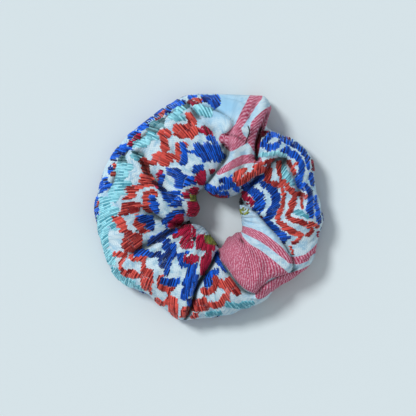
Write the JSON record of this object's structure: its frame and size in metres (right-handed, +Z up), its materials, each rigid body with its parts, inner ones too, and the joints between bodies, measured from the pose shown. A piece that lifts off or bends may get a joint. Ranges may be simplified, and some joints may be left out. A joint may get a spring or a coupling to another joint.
{
  "type": "scrunchie",
  "caption": "Gathered tube of embroidered and striped cotton around an elastic band, closed in a ring, for holding a ponytail or bun.",
  "frame": {"origin": "middle of the gathered outline, on the surface that the scrunchie lies on", "axes": "+Z up out of the surface and along the way the hair goes through; +X along the pull that opens it"},
  "size_m": [0.1139, 0.1139, 0.0303],
  "materials": {
    "striped_cotton": "plain-woven cotton, matt, with woven pink stripes",
    "braided_elastic": "ribbed braid, matt",
    "seam_thread": "spun polyester thread, matt",
    "join_thread": "spun polyester thread, matt",
    "closing_thread": "spun polyester thread, matt",
    "blue_floss": "satin stitch, soft sheen",
    "coral_floss": "satin stitch, soft sheen",
    "crimson_floss": "satin stitch, soft sheen",
    "turquoise_floss": "satin stitch, soft sheen",
    "green_floss": "satin stitch, soft sheen",
    "black_floss": "knotted stitch, matt"
  },
  "bodies": {
    "held_side": {"casing_left": "striped_cotton", "elastic_left": "braided_elastic", "seam_thread_left": "seam_thread", "blue_floss_left": "blue_floss", "coral_floss_left": "coral_floss", "crimson_floss_left": "crimson_floss", "turquoise_floss_left": "turquoise_floss", "green_floss_left": "green_floss", "black_floss_left": "black_floss"},
    "pulled_side": {"casing_right": "striped_cotton", "elastic_right": "braided_elastic", "seam_thread_right": "seam_thread", "blue_floss_right": "blue_floss", "coral_floss_right": "coral_floss", "crimson_floss_right": "crimson_floss", "turquoise_floss_right": "turquoise_floss", "green_floss_right": "green_floss", "black_floss_right": "black_floss", "elastic_join_stitches": "join_thread", "closing_thread": "closing_thread", "closing_thread_tail": "closing_thread"}
  },
  "joints": [
    {"name": "stretch", "type": "slide", "parent": "held_side", "child": "pulled_side", "axis": [1, 0, 0], "range_m": [0, 0.07], "stiffness_N_per_m": 115}
  ]
}
